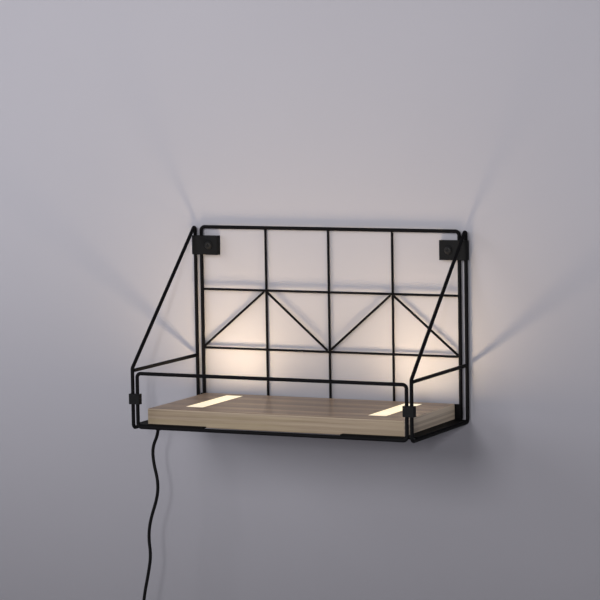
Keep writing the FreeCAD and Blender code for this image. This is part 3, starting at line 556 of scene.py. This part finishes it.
# ---- stage ----------------------------------------------------------------------------------
def one_sided(paint):
    """Makes a flat stage piece show only its front, so that the object can be seen from behind it."""
    clear = paint.tree.nodes.new("ShaderNodeBsdfTransparent")
    choose = paint.tree.nodes.new("ShaderNodeMixShader")
    back = paint.node("ShaderNodeNewGeometry", out="Backfacing")
    shadow = paint.node("ShaderNodeLightPath", out="Is Shadow Ray")
    paint.feed(choose.inputs[0], back.math("MAXIMUM", shadow))
    paint.tree.links.new(paint.shader.outputs[0], choose.inputs[1])
    paint.tree.links.new(clear.outputs[0], choose.inputs[2])
    paint.tree.links.new(choose.outputs[0], paint.output.inputs["Surface"])
    return paint.material


wall_dark = (0.364, 0.358, 0.397)
wall_light = (0.397, 0.391, 0.432)
floor_shade = 0.385       # painted shade: share of the wall's tone left near the floor
painted_light_low = 0.485        # painted light added from the floor up to the lamp
painted_light_high = 0.13         # painted light added from the shelf up
painted_shade_right = 0.14         # painted shade deepening from left to right


def wall_paint_and_painted_shade():
    """Plain matt wall paint, grey with a breath of lavender, with painted shade deepening towards the floor
    and the right and painted light from the shelf up.
    """
    paint = Paint("wall_paint_and_painted_shade", roughness=0.85, specular_ior_level=0.15)
    cloud = paint.noise(3.0, 3.0, 0.5)
    roller = paint.noise(420, 3.0, 0.6)
    tone = paint.mix(cloud, wall_dark, wall_light)
    height = paint.axis("Z")
    # painted shade and painted light: the wall's tone darkens towards the floor and the right and brightens
    # from the shelf up
    shade = floor_shade + height.step(-0.62, 0.06) * painted_light_low + height.step(-0.20, 0.22) * painted_light_high
    shade = shade * (1 - paint.axis("X").step(-0.45, 0.50) * painted_shade_right)
    paint.set(base_color=paint.mix(1.0, tone, paint.grey(shade), "MULTIPLY"))
    paint.bump(roller, 0.12 * MM, 0.35)
    return one_sided(paint)


def floor_paint():
    """Pale matt floor."""
    paint = Paint("floor_paint", roughness=0.8, specular_ior_level=0.2)
    cloud = paint.noise(2.0, 3.0, 0.5)
    paint.set(base_color=paint.mix(cloud, (0.50, 0.495, 0.51), (0.54, 0.535, 0.55)))
    return one_sided(paint)


def stage_plane(name, corners, material):
    mesh = bpy.data.meshes.new(name)
    mesh.from_pydata(corners, [], [(0, 1, 2, 3)])
    mesh.materials.append(material)
    show(name, mesh)


wall_y = 0.3 * MM         # just clear of the brackets' backs
floor_drop = 90 * MM      # under the lowest piece
floor_z = cad_box[0].z - floor_drop
reach = 6.0               # size of the wall and the floor, in metres
stage_plane("wall", [(-reach, wall_y, floor_z), (reach, wall_y, floor_z), (reach, wall_y, reach),
                     (-reach, wall_y, reach)], wall_paint_and_painted_shade())
stage_plane("floor", [(-reach, -reach, floor_z), (reach, -reach, floor_z), (reach, wall_y, floor_z),
                      (-reach, wall_y, floor_z)], floor_paint())


# ---- light ----------------------------------------------------------------------------------
def area_lamp(name, place, target, width, height, watts, colour):
    lamp = bpy.data.lights.new(name, "AREA")
    lamp.shape = "RECTANGLE"
    lamp.size = width
    lamp.size_y = height
    lamp.energy = watts
    lamp.color = colour
    obj = show(name, lamp)
    obj.location = place
    obj.rotation_mode = "QUATERNION"
    obj.rotation_quaternion = (Vector(target) - Vector(place)).to_track_quat("-Z", "Y")
    obj.visible_camera = False
    return obj


centre = Vector((0.0, -0.07, -0.08))    # the middle of the frame and the shelf


def toward(azimuth, elevation, distance):
    """A place seen from the middle; azimuth is counted from straight ahead to the right, in degrees."""
    side, up = math.radians(azimuth), math.radians(elevation)
    flat = math.cos(up)
    return centre + Vector((math.sin(side) * flat, -math.cos(side) * flat, math.sin(up))) * distance


warm_white = (1.0, 0.985, 0.99)
cool_white = (0.98, 0.98, 1.0)
room_lights = (           # name, azimuth, elevation, distance, width, height, watts, colour
    ("near_camera", 19.4, 8.0, 3.3, 0.09, 0.30, 23.0, warm_white),
    ("softbox", -6.0, 20.0, 3.2, 1.05, 1.10, 53.0, warm_white),
    ("right_fill", 62.0, 18.0, 2.8, 1.2, 1.2, 8.0, cool_white),
    ("left_fill", -58.0, 18.0, 2.8, 1.2, 1.2, 27.0, cool_white),
)
for name, azimuth, elevation, distance, width, height, watts, colour in room_lights:
    area_lamp(name, toward(azimuth, elevation, distance), centre, width, height, watts, colour)
area_lamp("behind", (-0.9, 1.6, 0.5), centre, 1.2, 1.2, 9.0, (0.95, 0.97, 1.0))

slot_glow = (1.0, 0.76, 0.47)
glow_width = 17.0 * MM
glow_length = 64.0 * MM
glow_watts = 0.36
glow_lift = 0.6 * MM      # above the opal cover
glow_y = (diffuser_low.y + diffuser_high.y) / 2 - 9.0 * MM
for side, word in ((-1, "left"), (1, "right")):
    start = Vector((side * (diffuser_low.x + diffuser_high.x) / 2, glow_y, diffuser_high.z + glow_lift))
    glow = area_lamp("glow_" + word, start, start + Vector((0, 0, 1)), glow_width, glow_length, glow_watts,
                     slot_glow)
    glow.visible_glossy = False

sky_colour = (0.93, 0.93, 1.0, 1.0)
sky_strength = 0.09
world = bpy.data.worlds.new("room")
bpy.context.scene.world = world
world.use_nodes = True
background = world.node_tree.nodes["Background"]
background.inputs[0].default_value = sky_colour
background.inputs[1].default_value = sky_strength

# ---- camera ---------------------------------------------------------------------------------
camera_place = Vector((1.2085, -2.6502, 0.2309))
camera_yaw = 0.438
camera_pitch = 0.097
camera_roll = -0.016
camera_lens = 175.48
camera_sensor = 36.0
camera_clip = (0.05, 30.0)


def aim_camera():
    """The camera turns left by its yaw, down by its pitch, and then rolls about its own axis."""
    cos_yaw, sin_yaw = math.cos(camera_yaw), math.sin(camera_yaw)
    cos_pitch, sin_pitch = math.cos(camera_pitch), math.sin(camera_pitch)
    ahead = Vector((-sin_yaw * cos_pitch, cos_yaw * cos_pitch, -sin_pitch))
    level = Vector((cos_yaw, sin_yaw, 0.0))
    above = level.cross(ahead)
    cos_roll, sin_roll = math.cos(camera_roll), math.sin(camera_roll)
    right = level * cos_roll + above * sin_roll
    up = above * cos_roll - level * sin_roll
    data = bpy.data.cameras.new("camera")
    data.lens = camera_lens
    data.sensor_width = camera_sensor
    data.clip_start, data.clip_end = camera_clip
    obj = show("camera", data)
    turn = Matrix((right, up, -ahead)).transposed().to_4x4()
    obj.matrix_world = Matrix.Translation(camera_place) @ turn
    bpy.context.scene.camera = obj


aim_camera()
bpy.context.scene.view_settings.view_transform = "Standard"
